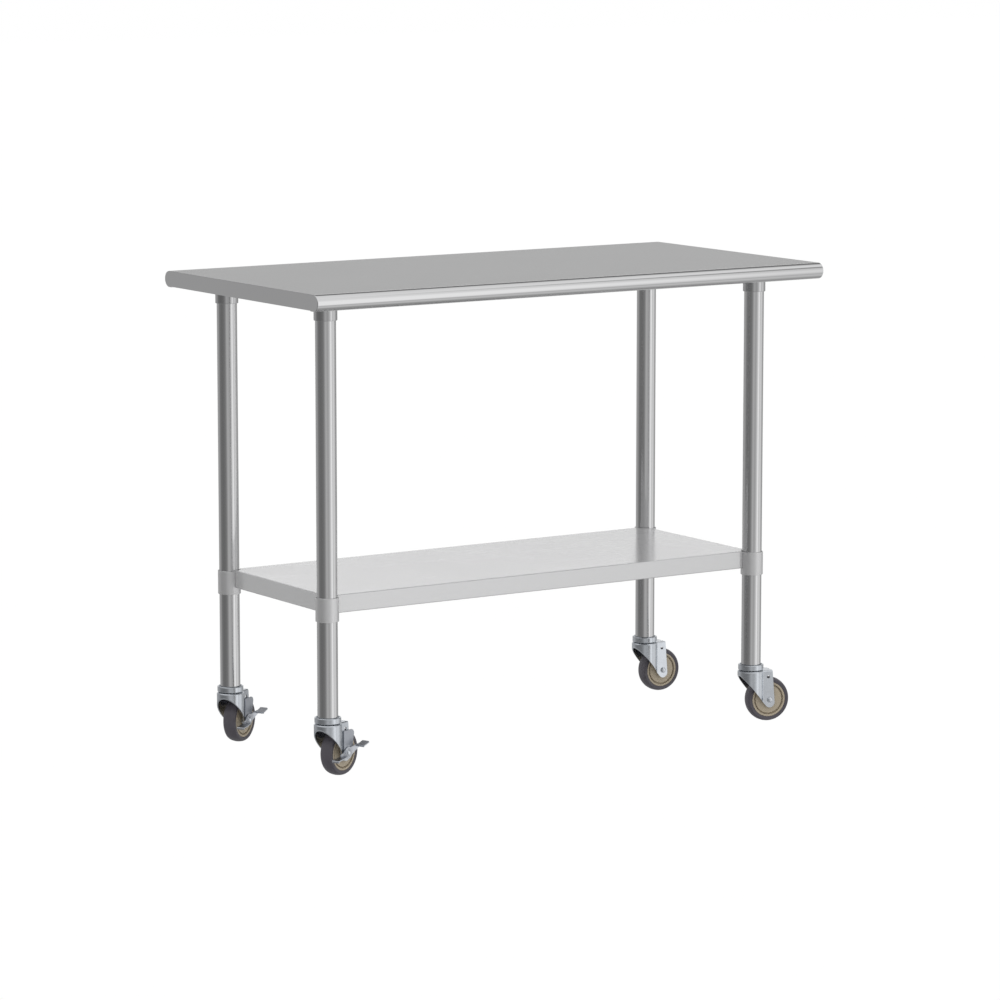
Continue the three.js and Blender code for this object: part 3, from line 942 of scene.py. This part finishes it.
def brake_plate_mesh(c):
    """The cover plate on the brake side, narrowing to a round end at the axle."""
    low, high = c.box("brake_plate")
    eye = c.trail - low.x
    corner = 9 * MM
    waist = (c.trail + 17 * MM, c.axle + 14.8 * MM)
    outline = [(low.x, c.axle), (low.x, high.z)]
    outline += arc((high.x - corner, high.z - corner), corner, 90, 0, 8)
    outline += [waist, (c.trail + eye, c.axle)]
    outline += arc((c.trail, c.axle), eye, -12, -168, 16)
    radii = [0.0] * len(outline)
    radii[1] = 1.5 * MM
    radii[outline.index(waist)] = 6 * MM
    plate = prism("brake_plate", rounded(outline, radii, 4, closed=True), low.y, high.y, 0.5 * MM)
    return cut(plate, c.axle_cut(2 * low.y, 0.0))


def pedal_offset(c, x):
    """How far from the wheel's middle plane the pedal's inner face runs, along the trail."""
    high = c.box("brake_pedal")[1]
    near, far = -high.y, ForkShape(c).radius + PEDAL_CLEARANCE
    bends = [
        (OFF_TAB[1][0], far), (c.trail - 8 * MM, near), (c.trail + PEDAL_EYE, near), (high.x, far),
    ]
    for (x0, y0), (x1, y1) in zip(bends, bends[1:]):
        if x0 < x <= x1:
            share = (x - x0) / (x1 - x0)
            return y0 + (y1 - y0) * share * share * (3 - 2 * share)
    return far


def pedal_web(c):
    """The pedal's upright web: an eye round the axle between the roots of the two foot tabs."""
    off_x, on_x = 2 * MM, 59 * MM  # where the web runs under each tab
    outline = [(c.trail - 9 * MM, c.axle + 8 * MM), (off_x, 49.5 * MM), (off_x, 42 * MM)]
    outline += arc((c.trail, c.axle), PEDAL_EYE, 210, 330, 14)
    outline += [(on_x, 50 * MM), (78.5 * MM, 65.3 * MM), (on_x, 61 * MM)]
    outline += arc((c.trail, c.axle), PEDAL_EYE, 60, 135, 9)
    radii = [6, 1, 1, 3] + [0] * 13 + [3, 4, 0.4, 3, 5] + [0] * 9
    web = prism("web", rounded(outline, [r * MM for r in radii], 4, closed=True),
                -PEDAL_SHEET, 0.0, 0.35 * MM)
    bm = bmesh.new()
    bm.from_mesh(web)
    for x in (i * 2.5 * MM for i in range(1, 32)):
        everything = bm.verts[:] + bm.edges[:] + bm.faces[:]
        bmesh.ops.bisect_plane(bm, geom=everything, plane_co=(x, 0, 0), plane_no=(1, 0, 0))
    for vertex in bm.verts:
        vertex.co.y -= pedal_offset(c, vertex.co.x)
    bm.to_mesh(web)
    bm.free()
    return web


def along_path(path, lengths, at):
    """The point at a distance along a path, and the upward normal there."""
    i = next(i for i, end in enumerate(lengths[1:]) if at <= end + 1e-9)
    a, b = Vector(path[i]), Vector(path[i + 1])
    direction = (b - a).normalized()
    share = (at - lengths[i]) / (lengths[i + 1] - lengths[i])
    return a.lerp(b, share), Vector((-direction.y, direction.x))


def foot_tab(ends, lip, root_y, tip_y):
    """A foot tab: a strip with a turned-down front edge and rounded free corners."""
    front, back = ends
    lean, bend, soft = 0.4 * MM, 2.6 * MM, 0.3 * MM
    path = rounded([(front[0] + lean, front[1] - lip), front, back], [0, bend, 0], 6)
    lengths = [0.0]
    for a, b in zip(path, path[1:]):
        lengths.append(lengths[-1] + math.dist(a, b))
    whole = lengths[-1]
    stops = [whole * share for share in (0, 0.02, 0.05, 0.1)]
    stops += [whole - TAB_CORNER * (1 - math.sin(turn)) for turn in quarter(6)]
    loops = []
    for at in sorted(set(lengths[1:-1] + stops)):
        spot, normal = along_path(path, lengths, at)
        short = max(TAB_CORNER - (whole - at), 0)
        edge = tip_y + TAB_CORNER - math.sqrt(max(TAB_CORNER**2 - short**2, 0.0))
        under = spot - normal * PEDAL_SHEET
        upper, lower = spot - normal * soft, under + normal * soft
        loops.append([
            (spot.x, root_y, spot.y), (spot.x, edge + soft, spot.y), (upper.x, edge, upper.y),
            (lower.x, edge, lower.y), (under.x, edge + soft, under.y), (under.x, root_y, under.y),
        ])
    return loft("foot_tab", loops, caps=True, angle=40)


def pedal_mesh(c):
    """The foot pedal: a bent web with a raised eye on the axle and a foot tab at each end."""
    low, high = c.box("brake_pedal")
    clear = ForkShape(c).radius + PEDAL_CLEARANCE
    overlap = 1.5 * MM  # how far the rear tab runs into the web's bend
    on_tab = foot_tab(ON_TAB, ON_LIP, overlap - clear, low.y)
    off_tab = foot_tab(OFF_TAB, OFF_LIP, -clear, low.y)
    bore, outer, height = 6.7 * MM, 8.8 * MM, 1.2 * MM
    ring = eased([(bore, 0, 0), (bore, height, 0.5), (outer, height, 0.9), (outer, 0, 0)], 4)
    seat = -high.y + PEDAL_SHEET
    raised = turned("eye", [(r, FIT_GAP - y - seat) for r, y in ring], 56, "Y")
    raised = shift(raised, c.wheel_centre)
    pedal = combined("UNION", pedal_web(c), on_tab, off_tab, raised)
    return cut(pedal, c.axle_cut(2 * low.y, 0.0))


def shoe_mesh(c):
    """The friction ring: a thin washer with grooves across its working face."""
    low, high = c.box("brake_shoe")
    outer, inner = high.z - c.axle, 9.2 * MM
    groove, ease = 0.35 * MM, 0.25 * MM
    loops = []
    for i, (u, v) in enumerate(arc((0, 0), 1, 0, 360, ROUND_SIDES)[:-1]):
        in_groove = i % 8 < 2
        face = high.y - (groove if in_groove else 0)
        section = [
            (inner, low.y), (outer - ease, low.y), (outer, low.y + ease), (outer, face - ease),
            (outer - ease, face), (inner, face),
        ]
        loops.append([(r * u, y, r * v) for r, y in section])
    return shift(loft("brake_shoe", loops, closed_path=True, angle=30), c.wheel_centre)


# Each caster piece: its name, the CAD node it stands for, how it is built, the body it rides on
# (None for the table's frame) and its finish.
CASTER_PIECES = [
    ("caster_head", "caster_stem", head_mesh, None, "zinc"),
    ("swivel_balls", "swivel_bearing", balls_mesh, "swivel", "bolt"),
    ("fork_shell", "caster_fork", fork_mesh, "swivel", "zinc"),
    ("hub", "wheel_hub", hub_mesh, "wheel", "plastic"),
    ("tyre_tread", "tyre", tyre_mesh, "wheel", "rubber"),
    ("axle_rivet", "axle_bolt", bolt_mesh, "swivel", "bolt"),
    ("axle_hex_nut", "axle_nut", nut_mesh, "swivel", "bolt"),
]
BRAKE_PIECES = [
    ("brake_cover", "brake_plate", brake_plate_mesh, "swivel", "plate"),
    ("foot_pedal", "brake_pedal", pedal_mesh, "pedal", "pedal"),
    ("friction_ring", "brake_shoe", shoe_mesh, "shoe", "bolt"),
]


def casters():
    """All four casters; those of one kind share their meshes."""
    shared = {}
    for corner in CORNERS:
        c = Caster(corner)
        for name, node, build, moves_with, finish in CASTER_PIECES + BRAKE_PIECES * c.braked:
            if (name, c.braked) not in shared:
                shared[name, c.braked] = build(c)
            body = moves_with + "_" + corner if moves_with else "table_frame"
            place(name + "_" + corner, shared[name, c.braked], body, finish, node + "_" + corner,
                  c.matrix)


# -------- studio

CAMERA_PLACE = Vector((-4.842, -7.436, 1.823))
CAMERA_AZIMUTH = math.radians(33.11)  # clockwise from +Y
CAMERA_TILT = math.radians(-8.525)
CAMERA_LENS = 155.9  # mm, on a 36 mm sensor


def camera():
    data = bpy.data.cameras.new("camera")
    data.lens = CAMERA_LENS
    data.sensor_width = 36
    data.clip_start = 0.1
    data.clip_end = 200
    item = add_object("camera", data)
    item.location = CAMERA_PLACE
    item.rotation_euler = (math.pi / 2 + CAMERA_TILT, 0, -CAMERA_AZIMUTH)
    bpy.context.scene.camera = item


# What polished metal sees of the studio: brightness by direction. Bearings are in degrees, 0 behind
# the camera and positive to its right, and elevations in degrees above the horizon.
HORIZON = [  # at the height of the horizon, by bearing
    (-180, 0.48), (-150, 0.46), (-128, 0.48), (-106, 0.41), (-89, 0.23), (-60, 0.19), (-40, 0.21),
    (-23, 0.26), (-11, 0.42), (0, 0.6), (23, 0.48), (35, 0.62), (47, 0.82), (58, 1.2),
    (67, 1.22), (75, 0.72), (89, 0.98), (106, 0.83), (128, 0.42), (150, 0.46), (180, 0.48),
]
BEHIND = [  # by elevation, behind the table
    (-90, 0.3), (-50, 0.42), (-30, 0.5), (-12, 0.5), (0, 0.47), (8, 0.5), (9.5, 1.5), (13, 1.5),
    (17, 0.3), (22, 0.22), (44, 0.22), (54, 0.95), (70, 1.05), (90, 1.05),
]
RIGHT = [  # by elevation, to the right of the camera
    (-90, 0.35), (-57, 0.42), (-51, 0.66), (-43, 0.8), (-33, 0.6), (-22, 0.9), (-12, 1.2),
    (12, 1.2), (21, 0.93), (42, 1.1), (57, 1.0), (90, 1.05),
]
FRONT = [  # by elevation, to the left and behind the camera
    (-90, 0.25), (-50, 0.35), (-20, 0.3), (0, 0.35), (20, 0.55), (45, 0.85), (90, 1.05),
]
# How much BEHIND counts, over the bearing to either side, and RIGHT, over the bearing
BEHIND_SHARE = [(0, 0), (118, 0), (145, 1), (180, 1)]
RIGHT_SHARE = [(-180, 0), (5, 0), (38, 1), (118, 1), (145, 0), (180, 0)]
# How much HORIZON counts, over the elevation
NEAR_HORIZON = [(-90, 0), (-32, 0), (-20, 1), (8, 1), (9.5, 0), (90, 0)]
NEAR_HORIZON_RIGHT = [(-90, 0), (-32, 0), (-20, 1), (15, 1), (38, 0), (90, 0)]
# A dark flag high on the right, seen as the thin dark line along the front roll
FLAG_BEARINGS = [(-180, 0), (75, 0), (78, 0.28), (81, 0.66), (115, 0.66), (125, 0), (180, 0)]
FLAG_HEIGHTS = [(-90, 0), (25, 0), (32, 1), (40, 1), (47, 0), (90, 0)]


def ramp(n, factor, stops, low, high):
    """Straight lines through (place, value) stops, for a factor in low..high."""
    share = n.add("ShaderNodeMapRange", {"Value": factor, "From Min": low, "From Max": high})
    node = n.add("ShaderNodeFloatCurve", {"Value": share.outputs[0]})
    curve = node.mapping.curves[0]
    top = max(value for _, value in stops) + 0.05
    node.mapping.clip_max_y = 2.0
    for _ in range(len(stops) - 2):
        curve.points.new(0.5, 0.5)
    for point, (at, value) in zip(curve.points, stops):
        point.location = ((at - low) / (high - low), value / top)
        point.handle_type = "VECTOR"
    node.mapping.update()
    return n.math("MULTIPLY", node.outputs[0], top)


def soft_boxes(n):
    """The brightness that polished metal sees in each direction, from the tables above."""
    direction = n.add("ShaderNodeTexCoord").outputs["Generated"]
    x, y, z = n.add("ShaderNodeSeparateXYZ", {0: direction}).outputs
    sin_a, cos_a = math.sin(CAMERA_AZIMUTH), math.cos(CAMERA_AZIMUTH)
    toward = n.math("ADD", n.math("MULTIPLY", x, -sin_a), n.math("MULTIPLY", y, -cos_a))
    right = n.math("ADD", n.math("MULTIPLY", x, cos_a), n.math("MULTIPLY", y, -sin_a))
    bearing = n.math("DEGREES", n.math("ARCTAN2", right, toward))
    height = n.math("DEGREES", n.math("ARCSINE", z))

    def by_bearing(stops):
        return ramp(n, bearing, stops, -180, 180)

    def by_height(stops):
        return ramp(n, height, stops, -90, 90)

    behind_share = ramp(n, n.math("ABSOLUTE", bearing), BEHIND_SHARE, 0, 180)
    right_share = by_bearing(RIGHT_SHARE)
    high = n.blend(by_height(FRONT), by_height(RIGHT), right_share)
    high = n.blend(high, by_height(BEHIND), behind_share)
    keep = n.blend(by_height(NEAR_HORIZON), by_height(NEAR_HORIZON_RIGHT), right_share)
    bright = n.blend(high, by_bearing(HORIZON), keep)
    flag = n.math("MULTIPLY", by_bearing(FLAG_BEARINGS), by_height(FLAG_HEIGHTS))
    return n.math("MULTIPLY", bright, n.math("SUBTRACT", 1.0, flag))


def studio():
    """A pale studio: the camera sees white, polished metal sees soft boxes and dark flags."""
    world = bpy.data.worlds.new("studio")
    bpy.context.scene.world = world
    world.use_nodes = True
    world.cycles.sampling_method = "NONE"  # light is gathered only along the rays' own bounces
    n = Nodes(world.node_tree)
    pattern = n.add("ShaderNodeBackground", {"Color": soft_boxes(n)}).outputs[0]
    path = n.add("ShaderNodeLightPath")
    plain = n.add("ShaderNodeBackground", {"Color": (1, 1, 1, 1)}).outputs[0]
    soft = n.add("ShaderNodeBackground", {"Color": (1, 1, 1, 1), "Strength": 1.05}).outputs[0]
    lit = n.add("ShaderNodeMixShader", {0: path.outputs["Is Diffuse Ray"], 1: pattern, 2: soft})
    seen = n.add("ShaderNodeMixShader",
                 {0: path.outputs["Is Camera Ray"], 1: lit.outputs[0], 2: plain})
    n.add("ShaderNodeOutputWorld", {"Surface": seen.outputs[0]})


def floor():
    """Plain pale paper, dimmer as a light. It doesn't show in polished metal or from below."""
    material, n = new_material("floor_paper")
    fibres = n.noise(3, 3.0, 0.5)
    path = n.add("ShaderNodeLightPath")
    strength = n.math("MAXIMUM", path.outputs["Is Camera Ray"], 0.5)
    paper = n.add("ShaderNodeEmission",
                  {"Color": n.tint(fibres, (1, 1, 1), 1.0, 1.01), "Strength": strength})
    clear = n.add("ShaderNodeBsdfTransparent")
    below = n.add("ShaderNodeNewGeometry").outputs["Backfacing"]
    unseen = n.math("MAXIMUM", path.outputs["Is Glossy Ray"], below)
    mix = n.add("ShaderNodeMixShader", {0: unseen, 1: paper.outputs[0], 2: clear.outputs[0]})
    n.add("ShaderNodeOutputMaterial", {"Surface": mix.outputs[0]})
    size = 30.0
    corners = [(-size, -size, 0), (size, -size, 0), (size, size, 0), (-size, size, 0)]
    mesh = mesh_from("floor", corners, [(0, 1, 2, 3)])
    mesh.materials.append(material)
    item = add_object("floor", mesh)
    item.location.z = CAD_BOX[0].z - 0.2 * MM


# -------- assembly

worktop()
hat_channel("top_channel_front", "table_frame", "channel_front")
hat_channel("top_channel_rear", "table_frame", "channel_rear")
hat_channel("shelf_channel", "undershelf", "channel_shelf")
shelf()
for corner_name in CORNERS:
    leg(corner_name)
    leg_socket(corner_name)
    shelf_collar(corner_name)
    set_screw("socket_screw", corner_name, "table_frame")
    set_screw("collar_screw", corner_name, "undershelf")
casters()

camera()
studio()
floor()
bpy.context.scene.view_settings.view_transform = "Standard"
bpy.context.scene.cycles.use_denoising = True
